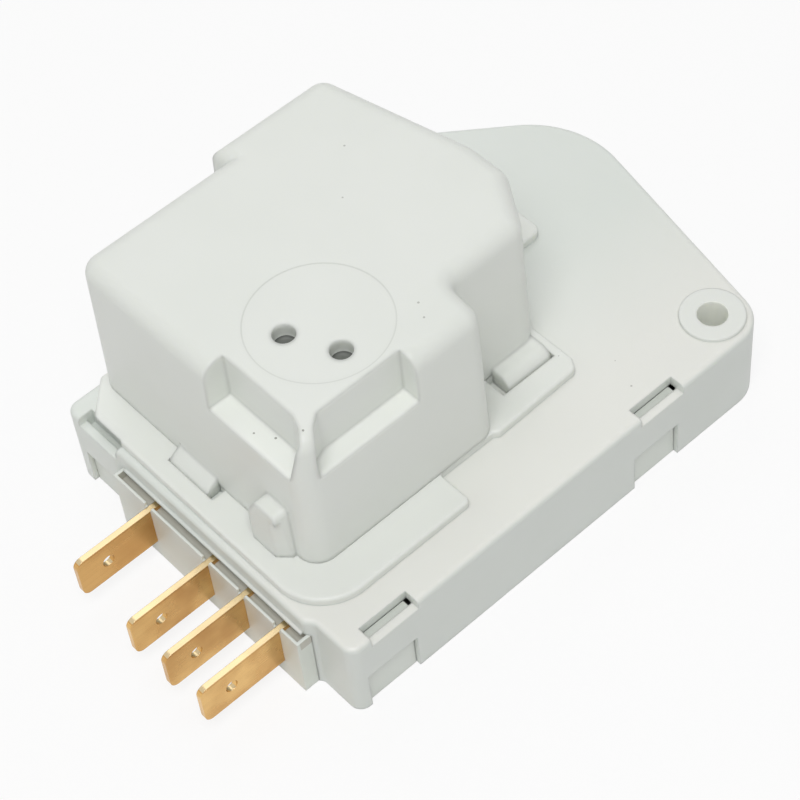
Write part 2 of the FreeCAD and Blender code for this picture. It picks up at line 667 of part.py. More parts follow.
def across(name, x, height, parts):
    """Round pieces on one axis along Y, joined; parts are (low, high, radius)."""
    members = []
    for number, (low, high, radius) in enumerate(parts):
        member = doc.addObject("Part::Cylinder", f"{name}_{number}")
        member.Placement = Placement(Vector(x, low, 0), Rotation(Vector(1, 0, 0), -90))
        member.setExpression("Placement.Base.z", height)
        member.setExpression("Radius", str(radius))
        member.setExpression("Height", str(high - low))
        members.append(member)
    joined = doc.addObject("Part::MultiFuse", name + "_joined")
    joined.Shapes = members
    return place(joined, name)


rivet_height = "Sizes.tab_foot + Sizes.tab_width / 2 + 0.1"
for name, alias in (("heater_rivet", "tab_second"), ("common_rivet", "tab_third"),
                    ("compressor_rivet", "tab_fourth")):
    low, high = size(alias), size(alias) + size("tab_thick") + blade
    across(name, rivet_x, rivet_height, [(low - 0.5, low, 1.1), (low - 0.1, high + 0.1, 0.6), (high, high + 0.5, 1.1)])
half = blade / 2
across("heater_contact", contact_x, contact_height,
       [(heater_y - half - 0.5, heater_y - half, "Sizes.contact_radius"),
        (heater_y - half - 0.1, heater_y + half + 0.2, 0.5)])
across("common_contact", contact_x, contact_height,
       [(common_y + half, common_y + half + 0.5, "Sizes.contact_radius"),
        (common_y - half - 0.1, common_y + half + 0.1, 0.5),
        (common_y - half - 0.65, common_y - half, "Sizes.contact_radius")])
across("compressor_contact", contact_x, contact_height,
       [(compressor_y + half, compressor_y + half + 0.65, "Sizes.contact_radius"),
        (compressor_y - half - 0.2, compressor_y + half + 0.1, 0.5)])

# posts on the closing cover that hold the blades
holder_low, holder_high = 36.0, 40.0
faces = [compressor_y - 1.4, compressor_y - half, compressor_y + half, common_y - half, common_y + half,
         heater_y - half, heater_y + half, heater_y + 1.4]
for low, high in zip(faces[0::2], faces[1::2]):
    padded(base, box_loop(holder_low, low, holder_high, high), "Sizes.blade_foot + Sizes.blade_height + 0.2")
for low, high in zip(faces[1:-1:2], faces[2:-1:2]):
    padded(base, box_loop(holder_low, low - 0.1, holder_high, high + 0.1), "Sizes.blade_foot")

# motor: stator
stator_inside = "Sizes.stator_radius - Sizes.steel"
cup = body("stator_cup", ROTOR)
disc(cup, None, "Sizes.stator_radius", "Sizes.pad_top", "Sizes.stator_top - Sizes.steel - Sizes.pad_top")
bore(cup, None, stator_inside, "Sizes.pad_top + Sizes.steel", "Sizes.stator_top")
bore(cup, None, "3.4", "Sizes.pad_top - 1", "3")
stator_r = size("stator_radius")
cut(cup, box_loop(-stator_r - 1, -6.5, -stator_r + 3, 3.5), "4", "Sizes.pad_top + Sizes.steel + 1")


def claws(owner, height, length, turn):
    """Twelve pole claws in a ring about the rotor."""
    near, far = size("pole_radius"), size("pole_radius") + size("steel")
    points = []
    for radius, degrees in ((near, -5), (far, -5), (far, 5), (near, 5)):
        angle = math.radians(turn + degrees)
        points.append((radius * math.cos(angle), radius * math.sin(angle)))
    doc.recompute()
    first = padded(owner, loop(points), length, height)
    ring = owner.newObject("PartDesign::PolarPattern", owner.Label + "_ring")
    ring.Originals = [first]
    ring.Axis = ([f for f in owner.Origin.OriginFeatures if f.Role == "Z_Axis"][0], [""])
    ring.Angle = 360
    ring.Occurrences = 12
    owner.Tip = ring
    doc.recompute()


claws(cup, "Sizes.pad_top", "Sizes.stator_top - Sizes.steel - 1.5 - Sizes.pad_top", 0)
lid = body("stator_plate", ROTOR)
disc(lid, None, "Sizes.stator_radius", "Sizes.stator_top - Sizes.steel", "Sizes.steel")
claws(lid, "Sizes.pad_top + Sizes.steel + 1.5", "Sizes.stator_top - 2 * Sizes.steel - 1.4 - Sizes.pad_top", 15)
bore(lid, None, "Sizes.pin_radius", "Sizes.stator_top - Sizes.steel - 0.5", "2")
PAWL_REACH = 4.4
bore(lid, (str(PAWL_REACH), "0.001"), "Sizes.pin_radius", "Sizes.stator_top - Sizes.steel - 0.5", "2")

# motor: coil
bobbin_inside = "Sizes.pole_radius + Sizes.steel + 0.2"
bobbin_foot, flange = "Sizes.pad_top + Sizes.steel + 0.1", 0.8
bobbin_height = "Sizes.stator_top - 2 * Sizes.steel - 0.2 - Sizes.pad_top"
bobbin = body("coil_bobbin", ROTOR)
disc(bobbin, None, "Sizes.stator_radius - Sizes.steel - 0.2", bobbin_foot, bobbin_height)
bore(bobbin, None, bobbin_inside, "0", "60")
drawing = sketch(bobbin, f"{bobbin_foot} + {flange}")
circle(drawing, None, "Sizes.stator_radius + 1")
circle(drawing, None, f"{bobbin_inside} + 0.8")
pocket(bobbin, drawing, f"{bobbin_height} - {2 * flange}")
winding = body("coil_winding", ROTOR)
drawing = sketch(winding, f"{bobbin_foot} + {flange}")
circle(drawing, None, "Sizes.stator_radius - Sizes.steel - 1.1")
circle(drawing, None, f"{bobbin_inside} + 0.8")
pad(winding, drawing, f"{bobbin_height} - {2 * flange}")

# motor: rotor, drawn about its own axis
magnet_foot, magnet_height = "Sizes.pad_top + Sizes.steel + 1", "10.8"
magnet = body("rotor_magnet", ROTOR)
drawing = sketch(magnet, magnet_foot)
circle(drawing, None, "Sizes.pole_radius - Sizes.air_gap")
circle(drawing, None, "Sizes.hub_radius")
pad(magnet, drawing, magnet_height)
hub = body("rotor_hub", ROTOR)
pinion_turn = facing(rotor_axis, first_pin)
padded(hub, tooth_loop((0, 0), pinion_teeth, fine, *PINION_SHARES, pinion_turn),
       "Sizes.plate_top + 0.7 - Sizes.rotor_pinion_foot", "Sizes.rotor_pinion_foot")
disc(hub, None, "2", "Sizes.plate_top + 0.6", f"{magnet_foot} - Sizes.plate_top - 0.6")
disc(hub, None, "Sizes.hub_radius", magnet_foot, magnet_height)
star = []
for tooth in range(4):
    angle = tooth * math.pi / 2 + 0.55
    star.append((2.2 * math.cos(angle), 2.2 * math.sin(angle)))
    star.append((1.3 * math.cos(angle + 0.15), 1.3 * math.sin(angle + 0.15)))
    star.append((1.5 * math.cos(angle + 0.8), 1.5 * math.sin(angle + 0.8)))
padded(hub, loop(star), "1.2", f"{magnet_foot} + {magnet_height}")
bore(hub, None, "Sizes.bore_radius", "0", "60")
rotor_pin = body("rotor_pin", ROTOR)
disc(rotor_pin, None, "Sizes.pin_radius", "Sizes.base_thick / 3", "Sizes.stator_top - Sizes.base_thick / 3")

# pawl that stops the rotor from starting backwards
pawl_foot = f"{magnet_foot} + {magnet_height} + 0.1"
PAWL = (f"Sizes.rotor_x + {PAWL_REACH}", "Sizes.rotor_y + 0.001")
pawl_pin = body("pawl_pin", PAWL)
disc(pawl_pin, None, "Sizes.pin_radius", f"{pawl_foot} - 0.04", f"Sizes.stator_top - ({pawl_foot}) + 0.04")
pawl = body("no_back_pawl", PAWL)
padded(pawl, loop([(0.5, -0.7), (0.75, 0.35), (-2.6, 2.75), (-3.15, 2.2), (-2.4, 1.65), (-0.75, 0.3), (-0.5, -0.6)],
                  [0.3, 0.3, 0.1, 0, 0.1, 0.2, 0.2]), "1", pawl_foot)
disc(pawl, None, "0.95", pawl_foot, "1")
bore(pawl, None, "Sizes.bore_radius", "0", "60")


# reduction train
def gear(name, axis, wheel, pinion):
    """A wheel and a pinion in one piece; each is (teeth, module, turn, foot, height)."""
    made = body(name, axis)
    for (teeth, module, turn, foot, height), shares in ((wheel, WHEEL_SHARES), (pinion, PINION_SHARES)):
        padded(made, tooth_loop((0, 0), teeth, module, *shares, turn), height, foot)
    bore(made, None, "Sizes.bore_radius", "0", "60")
    return made


half_step = math.pi / wheel_teeth
thick = "Sizes.wheel_thick"
gear("gear_1", FIRST_PIN,
     (wheel_teeth, fine, facing(first_pin, rotor_axis) + half_step, "Sizes.first_wheel_foot", thick),
     (pinion_teeth, fine, facing(first_pin, second_pin), "Sizes.first_pinion_foot",
      "Sizes.first_wheel_foot - Sizes.first_pinion_foot"))
gear("gear_2", SECOND_PIN,
     (wheel_teeth, fine, facing(second_pin, first_pin) + half_step, "Sizes.second_wheel_foot", thick),
     (pinion_teeth, fine, facing(second_pin, first_pin), "Sizes.second_pinion_foot",
      "Sizes.second_wheel_foot - Sizes.second_pinion_foot"))
gear("gear_3", FIRST_PIN,
     (wheel_teeth, fine, facing(first_pin, second_pin) + half_step, "Sizes.third_wheel_foot", thick),
     (pinion_teeth, fine, facing(first_pin, second_pin), "Sizes.third_pinion_foot",
      "Sizes.third_wheel_foot - Sizes.third_pinion_foot"))
gear("gear_4", SECOND_PIN,
     (wheel_teeth, fine, facing(second_pin, first_pin) + half_step, "Sizes.fourth_wheel_foot", thick),
     (pinion_teeth, fine, facing(second_pin, third_pin), "Sizes.fourth_pinion_foot",
      "Sizes.fourth_wheel_foot - Sizes.fourth_pinion_foot"))
gear("gear_5", THIRD_PIN,
     (fifth_teeth, fine, facing(third_pin, second_pin) + math.pi / fifth_teeth, "Sizes.fifth_wheel_foot", thick),
     (final_pinion_teeth, final, facing(third_pin, cam_axis), "Sizes.cam_gear_foot",
      "Sizes.fifth_wheel_foot - Sizes.cam_gear_foot"))
for name, axis, top in (("axle_pin_1", FIRST_PIN, "Sizes.plate_under + 1"),
                        ("axle_pin_2", SECOND_PIN, "Sizes.plate_under + 1"),
                        ("axle_pin_3", THIRD_PIN, "Sizes.fourth_wheel_foot - 0.3")):
    pin = body(name, axis)
    disc(pin, None, "Sizes.pin_radius", "Sizes.base_thick / 3", f"{top} - Sizes.base_thick / 3")


def sector(near, far, low, high):
    """A piece of a ring between two angles in degrees."""
    low, middle, high = math.radians(low), math.radians((low + high) / 2), math.radians(high)

    def at(radius, angle):
        return Vector(radius * math.cos(angle), radius * math.sin(angle), 0)

    return [Part.Arc(at(far, low), at(far, middle), at(far, high)), Part.LineSegment(at(far, high), at(near, high)),
            Part.Arc(at(near, high), at(near, middle), at(near, low)), Part.LineSegment(at(near, low), at(far, low))]


# cam gear, with two sprung pawls inside that drive the cam's ratchet
ratchet = size("ratchet_radius")
cam_gear = body("cam_gear", CAM)
padded(cam_gear, tooth_loop((0, 0), cam_gear_teeth, final, *WHEEL_SHARES,
                            facing(cam_axis, third_pin) + math.pi / cam_gear_teeth),
       "Sizes.cam_gear_thick", "Sizes.cam_gear_foot")
bore(cam_gear, None, "Sizes.ratchet_radius + Sizes.shaft_play", "0", "60")
for turn in (0, 180):
    cut(cam_gear, sector(ratchet - 0.5, ratchet + 3.2, turn + 20, turn + 105), "60", "0")
    padded(cam_gear, sector(ratchet + 1.6, ratchet + 2.3, turn + 15, turn + 80), "Sizes.cam_gear_thick",
           "Sizes.cam_gear_foot")
    padded(cam_gear, sector(ratchet + 0.15, ratchet + 2.3, turn + 72, turn + 80), "Sizes.cam_gear_thick",
           "Sizes.cam_gear_foot")

# cam, ratchet wheel and hand-advance shaft in one piece
cam = body("timing_cam", CAM)
disc(cam, None, "Sizes.shaft_radius", "Sizes.shaft_recess", "Sizes.cam_gear_foot - Sizes.shaft_recess")
saw = []
saw_teeth = int(size("ratchet_teeth"))
for tooth in range(saw_teeth):
    angle = tooth * 2 * math.pi / saw_teeth
    saw.append((ratchet * math.cos(angle), ratchet * math.sin(angle)))
    saw.append(((ratchet - 0.5) * math.cos(angle + 0.04), (ratchet - 0.5) * math.sin(angle + 0.04)))
padded(cam, loop(saw), "Sizes.cam_gear_thick", "Sizes.cam_gear_foot")
disc(cam, None, "Sizes.ratchet_radius - 0.5", "Sizes.cam_gear_foot + Sizes.cam_gear_thick",
     "Sizes.cam_foot - Sizes.cam_gear_foot - Sizes.cam_gear_thick")


def cam_loop():
    high = size("cam_radius")
    low = high - size("cam_drop")
    middle = (high + low) / 2

    def at(radius, degrees):
        return Vector(radius * math.cos(math.radians(degrees)), radius * math.sin(math.radians(degrees)), 0)

    return [Part.Arc(at(high, 80), at(high, 230), at(high, 380)), Part.LineSegment(at(high, 20), at(middle, 20)),
            Part.Arc(at(middle, 20), at(middle, 29), at(middle, 38)), Part.LineSegment(at(middle, 38), at(low, 38)),
            Part.Arc(at(low, 38), at(low, 47), at(low, 56)), Part.LineSegment(at(low, 56), at(high, 80))]


padded(cam, cam_loop(), "Sizes.cam_height", "Sizes.cam_foot")
disc(cam, None, "2.5", "Sizes.cam_foot + Sizes.cam_height",
     "Sizes.plate_under - 0.25 - Sizes.cam_foot - Sizes.cam_height")
cut(cam, box_loop(-4.0, -0.6, 4.0, 0.6), "1.2", "Sizes.shaft_recess")


# lead wires from the tabs to the coil
def lead(name, alias, end):
    middle_y = size(alias) + size("tab_thick") / 2
    height = tab_foot + tab_width / 2
    rise = size("plate_top") + size("pad_rise") + 2.6
    path = [Vector(inside_end, middle_y, height), Vector(inside_end + 1.0, middle_y, height + 0.2),
            Vector(LEAD_X, middle_y, height + 2.2), Vector(LEAD_X, middle_y, rise - 1.0),
            Vector(LEAD_X + 1.6, middle_y + (end.y - middle_y) * 0.25, rise + 0.8), end]
    curve = Part.BSplineCurve()
    curve.interpolate(path)
    start = curve.tangent(curve.FirstParameter)[0]
    profile = Part.Wire(Part.makeCircle(0.42, path[0], start))
    shape = Part.Wire(curve.toShape()).makePipeShell([profile], True, True)
    made = doc.addObject("Part::Feature", name + "_wire")
    made.Shape = shape
    return place(made, name)


coil_side = size("stator_radius") - size("steel") - 0.6
coil_height = size("plate_top") + size("pad_rise") + size("steel") + 2.9
for name, alias, aside in (("lead_wire_1", "tab_first", 1.6), ("lead_wire_2", "tab_third", -4.2)):
    reach = math.sqrt(coil_side**2 - aside**2)
    lead(name, alias, Vector(rotor_axis[0] - reach, rotor_axis[1] + aside, coil_height))


# motor cover
def drawn_in(corners, distance, slope_height=0.0):
    """The cover's corners moved in by a wall and by the slope up to a height."""
    slope = slope_height * math.tan(math.radians(size("cover_draft")))
    points = inset([c[0] for c in corners], distance + slope)
    return points, [c[1] for c in corners]


def inner_radii(corners, distance):
    """Radii inside a wall: smaller at outward corners, larger at inward ones."""
    points = [c[0] for c in corners]
    radii = []
    for i, (_, radius) in enumerate(corners):
        (ax, ay), (bx, by), (cx, cy) = points[i - 1], points[i], points[(i + 1) % len(points)]
        outward = (bx - ax) * (cy - by) - (by - ay) * (cx - bx) > 0
        radii.append(max(radius - distance, 0.4) if outward else radius + distance)
    return radii


cover = body("motor_cover")
pad_top, cover_top, cover_wall = size("pad_top"), size("cover_top"), size("cover_wall")
slope = "-Sizes.cover_draft"

# small boss on the tab side, drawn across X, then trimmed in plan
drawing = drawn(cover, loop([(14.1, pad_top), (22.8, pad_top), (18.1, size("boss_top")), (14.7, size("boss_top"))],
                            [0, 0, 0.7, 0.5]), "2.35", "YZ_Plane")
pad(cover, drawing, "4")
cut(cover, loop([(1.0, 13.0), (4.4, 13.0), (3.7, 14.2), (2.35, 15.6), (1.0, 16.9)], [0, 0, 0, 0.6, 0]), "20", "1")
cut(cover, loop([(1.0, 18.4), (2.35, 19.6), (4.2, 22.7), (4.4, 24.0), (1.0, 24.0)], [0, 0.6, 0, 0, 0]), "20", "1")
padded(cover, loop(*drawn_in(COVER_CORNERS, 0.0)), "Sizes.cover_top - Sizes.pad_top", "Sizes.pad_top", slope)
round_edges(cover, "Sizes.cover_round", lambda edge: lies_at(edge, cover_top))
scoop_floor = size("scoop_floor")
scoop_under = scoop_floor - cover_wall
radii = inner_radii(COVER_CORNERS, cover_wall)
low, _ = drawn_in(COVER_CORNERS, cover_wall)
cut(cover, loop(low, radii), "Sizes.scoop_floor - Sizes.cover_wall - Sizes.pad_top", "Sizes.pad_top", slope)
SCOOP_LEFT_X, SCOOP_LEFT_Y = 7.9, 27.5
SCOOP_RIGHT_X, SCOOP_RIGHT_Y = 22.3, 13.9
upper, _ = drawn_in(COVER_CORNERS, cover_wall, scoop_under - pad_top)


def without_scoops(points, corner_radii):
    """The upper cavity: the corner with the two ledges is left out."""
    left_x, left_y = SCOOP_LEFT_X + cover_wall, SCOOP_LEFT_Y + cover_wall
    right_x, right_y = SCOOP_RIGHT_X + cover_wall, SCOOP_RIGHT_Y + cover_wall
    front, side = points[0][1], points[0][0]
    corner = [(side, left_y), (left_x, left_y), (left_x, right_y), (right_x, right_y), (right_x, front)]
    return corner + points[1:], [0.5, 0.5, 0.5, 0.5, 0.5] + corner_radii[1:]


cut(cover, loop(*without_scoops(upper, radii)), "Sizes.cover_top - Sizes.scoop_floor",
    "Sizes.scoop_floor - Sizes.cover_wall", slope)


def scoop(low_points, high_points):
    """A ledge cut into the corner; its end leans back towards the rib as it rises."""
    doc.recompute()
    before = cover.Shape.Volume
    low_sketch = drawn(cover, loop(low_points), "Sizes.scoop_floor")
    high_sketch = drawn(cover, loop(high_points), "Sizes.cover_top + 1")
    made = cover.newObject("PartDesign::SubtractiveLoft", "motor_cover_scoop")
    made.Profile = low_sketch
    made.Sections = [high_sketch]
    made.Ruled = True
    doc.recompute()
    if not cover.Shape.isValid() or cover.Shape.Volume >= before - 1:
        raise RuntimeError("motor_cover: a scoop went wrong")


scoop([(-2.0, SCOOP_LEFT_Y), (-2.0, 13.6), (6.2, 13.2), (7.3, 14.4), (SCOOP_LEFT_X, 16.0), (SCOOP_LEFT_X, SCOOP_LEFT_Y)],
      [(-2.0, SCOOP_LEFT_Y), (-2.0, 9.0), (6.0, 12.0), (7.1, 13.4), (SCOOP_LEFT_X, 15.4), (SCOOP_LEFT_X, SCOOP_LEFT_Y)])
scoop([(SCOOP_RIGHT_X, 5.0), (SCOOP_RIGHT_X, SCOOP_RIGHT_Y), (10.2, SCOOP_RIGHT_Y), (8.6, 13.3), (7.3, 11.5),
       (7.3, 5.0)],
      [(SCOOP_RIGHT_X, 5.0), (SCOOP_RIGHT_X, SCOOP_RIGHT_Y), (10.0, SCOOP_RIGHT_Y), (8.5, 12.6), (7.2, 10.9),
       (3.0, 5.0)])
PEEPS = ((14.77, 24.95), (17.80, 18.57))
for x, y in PEEPS:
    disc(cover, (str(x), str(y)), "Sizes.peep_radius + 0.9", "Sizes.cover_top - Sizes.peep_depth - 0.9",
         "Sizes.peep_depth + 0.6")
for x, y in PEEPS:
    bore(cover, (str(x), str(y)), "Sizes.peep_radius", "Sizes.cover_top - Sizes.peep_depth", "4")
bore(cover, ("18.65", "23.4"), "Sizes.mark_radius", "Sizes.cover_top - Sizes.mark_depth", "1")

# latch lugs: rounded bars that lie in the housing's two pockets
low_x, low_y, high_x, high_y = LUG_RIGHT
profile = [(low_y + 0.2, plate_top - 0.1), (high_y - 0.02, plate_top - 0.1), (high_y - 0.02, pad_top),
           (high_y + 1.2, pad_top), (high_y + 1.2, pad_top + 1.2), (low_y + 0.2, pad_top + 1.2)]
pad(cover, drawn(cover, loop(profile, [0.2, 0, 0, 0, 0, 1.7]), str(low_x + 1.1), "YZ_Plane"), str(high_x - low_x - 1.5))
low_x, low_y, high_x, high_y = LUG_LEFT
profile = [(low_x + 0.06, plate_top - 0.1), (high_x - 0.02, plate_top - 0.1), (high_x - 0.02, pad_top),
           (high_x + 1.2, pad_top), (high_x + 1.2, pad_top + 1.3), (high_x - 0.2, pad_top + 1.3),
           (low_x + 0.06, pad_top - 0.1)]
bar = pad(cover, side_sketch(cover, loop(profile, [0.1, 0, 0, 0, 0, 0.8, 0.5]), str(low_y + 1.1)),
          str(high_y - low_y - 1.2))
bar.Reversed = True

doc.recompute()
problems = []
for made in doc.Objects:
    if "Invalid" in made.State or "Error" in made.State:
        problems.append(f"{made.Name}: {made.State}")
for piece in pieces:
    if piece.Shape.isNull() or not piece.Shape.isValid():
        problems.append(f"{piece.Label}: bad shape")
    elif len(piece.Shape.Solids) != 1:
        problems.append(f"{piece.Label}: {len(piece.Shape.Solids)} solids")
if problems:
    raise RuntimeError("; ".join(problems))

os.makedirs("parts", exist_ok=True)
for piece in pieces:
    piece.Shape.exportStep(f"parts/{piece.Label}.step")
print(len(pieces), "pieces written")
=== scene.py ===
# %% [markdown]
# A defrost timer: a flat moulded housing, a tall cap over the motor, and four
# brass tabs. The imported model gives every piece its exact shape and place, so
# this script dresses those pieces, adds what is too fine for them, and lights
# the whole thing the way a catalogue photograph would.

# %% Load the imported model
import math

import bpy
from mathutils import Matrix, Vector


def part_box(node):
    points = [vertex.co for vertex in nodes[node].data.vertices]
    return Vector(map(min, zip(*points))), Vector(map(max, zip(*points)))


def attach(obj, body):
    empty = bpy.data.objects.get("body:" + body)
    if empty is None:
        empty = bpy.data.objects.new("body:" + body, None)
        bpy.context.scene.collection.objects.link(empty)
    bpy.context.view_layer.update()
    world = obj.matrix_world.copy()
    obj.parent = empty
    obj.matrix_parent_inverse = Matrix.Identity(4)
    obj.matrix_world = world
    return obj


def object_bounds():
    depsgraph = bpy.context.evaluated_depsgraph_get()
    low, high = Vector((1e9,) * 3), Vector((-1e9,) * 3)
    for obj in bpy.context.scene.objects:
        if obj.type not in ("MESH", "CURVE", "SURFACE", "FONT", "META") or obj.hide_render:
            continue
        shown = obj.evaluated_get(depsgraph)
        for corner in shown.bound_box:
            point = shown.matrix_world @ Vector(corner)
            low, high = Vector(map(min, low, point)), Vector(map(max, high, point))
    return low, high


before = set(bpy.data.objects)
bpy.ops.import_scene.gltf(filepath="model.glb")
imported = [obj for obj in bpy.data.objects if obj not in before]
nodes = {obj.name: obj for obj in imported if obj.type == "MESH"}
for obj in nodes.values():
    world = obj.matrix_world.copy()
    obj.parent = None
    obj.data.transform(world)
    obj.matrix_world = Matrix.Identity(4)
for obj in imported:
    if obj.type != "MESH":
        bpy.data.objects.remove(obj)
solid_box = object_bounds()

MM = 0.001
SCREW_HOLE = (64.6, 5.14)
FRONT_CORNER = Vector((-SCREW_HOLE[0], -SCREW_HOLE[1], 0.0)) * MM


def on_part(x, y, z):
    """A point measured in millimetres from the housing's front corner."""
    return FRONT_CORNER + Vector((x, y, z)) * MM


# %% [markdown]
# Shader maths reads best as ordinary expressions. The class below wraps a
# socket, so that `1 - mask * 0.3` adds the Math nodes by itself. Drawing the
# nodes by hand would work too, but the formula would be hidden in the wiring.

# %% Shader maths as expressions
class Value:
    """A number socket that can be added, multiplied and compared."""

    def __init__(self, recipe, socket):
        self.recipe = recipe
        self.socket = socket

    def maths(self, operation, first, second):
        return self.recipe.node("ShaderNodeMath", {"operation": operation}, {0: first, 1: second})

    def __add__(self, other):
        return self.maths("ADD", self, other)

    __radd__ = __add__

    def __mul__(self, other):
        return self.maths("MULTIPLY", self, other)

    __rmul__ = __mul__

    def __sub__(self, other):
        return self.maths("SUBTRACT", self, other)

    def __rsub__(self, other):
        return self.maths("SUBTRACT", other, self)

    def __pow__(self, other):
        return self.maths("POWER", self, other)

    def __gt__(self, other):
        return self.maths("GREATER_THAN", self, other)

    def __lt__(self, other):
        return self.maths("LESS_THAN", self, other)


class Recipe:
    """A material that is being built; node() adds one node and returns its output."""

    def __init__(self, name):
        self.material = bpy.data.materials.new(name)
        self.material.use_nodes = True
        self.tree = self.material.node_tree
        self.shader = self.tree.nodes["Principled BSDF"]
        self.place = self.node("ShaderNodeTexCoord", {}, {}, "Object")

    def node(self, kind, settings, inputs, output=0):
        made = self.tree.nodes.new(kind)
        for name, value in settings.items():
            if name == "stops":
                self.set_stops(made.color_ramp, value)
            else:
                setattr(made, name, value)
        for name, value in inputs.items():
            self.feed(made.inputs[name], value)
        return Value(self, made.outputs[output])

    def set_stops(self, ramp, stops):
        while len(ramp.elements) < len(stops):
            ramp.elements.new(0.5)
        for element, (position, shade) in zip(ramp.elements, stops):
            element.position = position
            element.color = (shade, shade, shade, 1.0)

    def feed(self, socket, value):
        if isinstance(value, Value):
            self.tree.links.new(value.socket, socket)
        else:
            socket.default_value = value

    def noise(self, per_mm, detail=2.0, stretch=(1.0, 1.0, 1.0), offset=0.0):
        """Soft blotches with a given number of them along a millimetre."""
        scale = tuple(1000.0 * per_mm * share for share in stretch)
        where = self.node("ShaderNodeMapping", {}, {"Vector": self.place, "Scale": scale,
                                                    "Location": (offset, offset, offset)})
        return self.node("ShaderNodeTexNoise", {}, {"Vector": where, "Scale": 1.0, "Detail": detail})

    def along(self, axis, mm_zero=0.0):
        """The place along X, Y or Z in millimetres, counted from a given point."""
        part = self.node("ShaderNodeSeparateXYZ", {}, {0: self.place}, "XYZ".index(axis))
        return part * 1000.0 - mm_zero

    def between(self, axis, low, high):
        """1 where the place along an axis lies between two measures, in millimetres."""
        place = self.along(axis)
        return (place > low) * (place < high)

    def apart(self, x, y):
        """The distance in plan, in millimetres, from a point of the housing."""
        across = self.along("X", x + FRONT_CORNER.x / MM)
        back = self.along("Y", y + FRONT_CORNER.y / MM)
        return (across * across + back * back) ** 0.5

    def ring(self, x, y, radius, width):
        """1 on a narrow ring about a point of the housing, 0 elsewhere."""
        distance = self.apart(x, y)
        return (distance > radius - width) * (distance < radius + width)

    def facing_up(self):
        """1 on a level top, 0 on an upright wall."""
        normal = self.node("ShaderNodeTexCoord", {}, {}, "Normal")
        return self.node("ShaderNodeSeparateXYZ", {}, {0: normal}, 2)

    def ramp(self, value, *stops):
        return self.node("ShaderNodeValToRGB", {"stops": stops}, {"Fac": value})

    def blend(self, share, first, second):
        """A colour between two others; the share is 0 for the first."""
        made = self.tree.nodes.new("ShaderNodeMix")
        made.data_type = "RGBA"
        self.feed(made.inputs[0], share)
        for index, colour in ((6, first), (7, second)):
            self.feed(made.inputs[index], colour if isinstance(colour, Value) else (*colour, 1.0))
        return Value(self, made.outputs[2])

    def relief(self, height, depth_mm, strength=1.0, edge_mm=0.0):
        """Bumps of a given depth; edges can be rounded for the light."""
        inputs = {"Height": height, "Distance": depth_mm * MM, "Strength": strength}
        if edge_mm:
            inputs["Normal"] = self.node("ShaderNodeBevel", {"samples": 6}, {"Radius": edge_mm * MM})
        return self.node("ShaderNodeBump", {}, inputs)

    def finish(self, **sockets):
        for name, value in sockets.items():
            self.feed(self.shader.inputs[name.replace("_", " ")], value)
        return self.material


# %% [markdown]
# The housing and the cap are moulded in off-white plastic. Real mouldings are
# never one flat colour: the resin drifts slightly, the tool leaves a very fine
# grain, handling polishes some patches, and a few dark specks sit in the
# surface. Each of these is one noise pattern at its own scale. The resin also
# lets a little light through, which subsurface scattering gives.

# %% Moulded plastic
DUST = (0.22, 0.21, 0.18)


def moulded_plastic(name, colour, deep, roughness=0.36, specks=0.0, edge_mm=0.16, seed=0.0,
                    rings=(), shade_in=None):
    """Off-white resin, or another; rings are shallow marks, shade_in lists places of another tone."""
    recipe = Recipe(name)
    drift = recipe.noise(0.055, 3.0, offset=seed)
    grain = recipe.noise(5.5, 2.0, offset=seed)
    ripple = recipe.noise(0.22, 1.0, offset=seed + 4)
    rubbed = recipe.noise(0.13, 4.0, offset=seed + 9)
    shade = recipe.blend(recipe.ramp(drift, (0.35, 0.0), (0.70, 1.0)), colour, deep)
    if shade_in:
        for mask, tone in shade_in(recipe):
            shade = recipe.blend(mask, shade, tone)
    if specks:
        spot = recipe.node("ShaderNodeTexVoronoi", {}, {"Vector": recipe.place, "Scale": 260.0}, "Distance")
        rare = recipe.noise(0.12, 0.0, offset=seed + 21)
        speck = (spot < specks) * (rare > 0.61)
        shade = recipe.blend(speck * 0.5, shade, DUST)
    gloss = roughness + 0.10 * recipe.ramp(rubbed, (0.40, 0.0), (0.72, 1.0)) + 0.05 * grain
    height = 0.25 * grain + ripple
    for x, y, radius, width in rings:
        height = height - recipe.ring(x, y, radius, width) * 0.8
    normal = recipe.relief(height, 0.035, 0.35, edge_mm)
    return recipe.finish(Base_Color=shade, Roughness=gloss, Normal=normal, IOR=1.49)


def let_light_in(material, weight, reach_mm):
    """Light that enters the resin and leaves it a little further on."""
    shader = material.node_tree.nodes["Principled BSDF"]
    shader.inputs["Subsurface Weight"].default_value = weight
    shader.inputs["Subsurface Radius"].default_value = (1.0, 1.0, 0.9)
    shader.inputs["Subsurface Scale"].default_value = reach_mm * MM


# %% [markdown]
# Some places of a moulding differ from the rest. The raised platform is
# painted lighter and the level plate paler along the long side, both painted
# light, while painted shade darkens the wall below it, the groove behind the
# terminal block's lip and the tops of the snap arms. Each is a mask on the
# place in the piece, so it stays where it is from every side.

# %% Places that differ
JUST_ABOVE_PLATE = 12.95
SCREW_HOLE_WALL = 2.05
ROUND_HOLES = [(14.77, 24.95), (17.80, 18.57)]
ROUND_HOLE_WALL = 1.6
ROUND_HOLE_FLOORS = (32.0, 34.0)
CORNER_LEDGES = (28.5, 29.7)
ABOVE_CORNER_LEDGES = 28.5
RING_MARK = (18.65, 23.4, 8.8, 0.09)
NEAR_CAP_TOP = 35.0
SMALL_DOTS = [(6.1, 21.2, 0.13), (7.4, 18.9, 0.16), (7.4, 13.1, 0.14)]
LIP_BACK = -2.05
GROOVE_WALLS = (8.5, 9.9)
SNAP_ARM_TOPS = 10.2


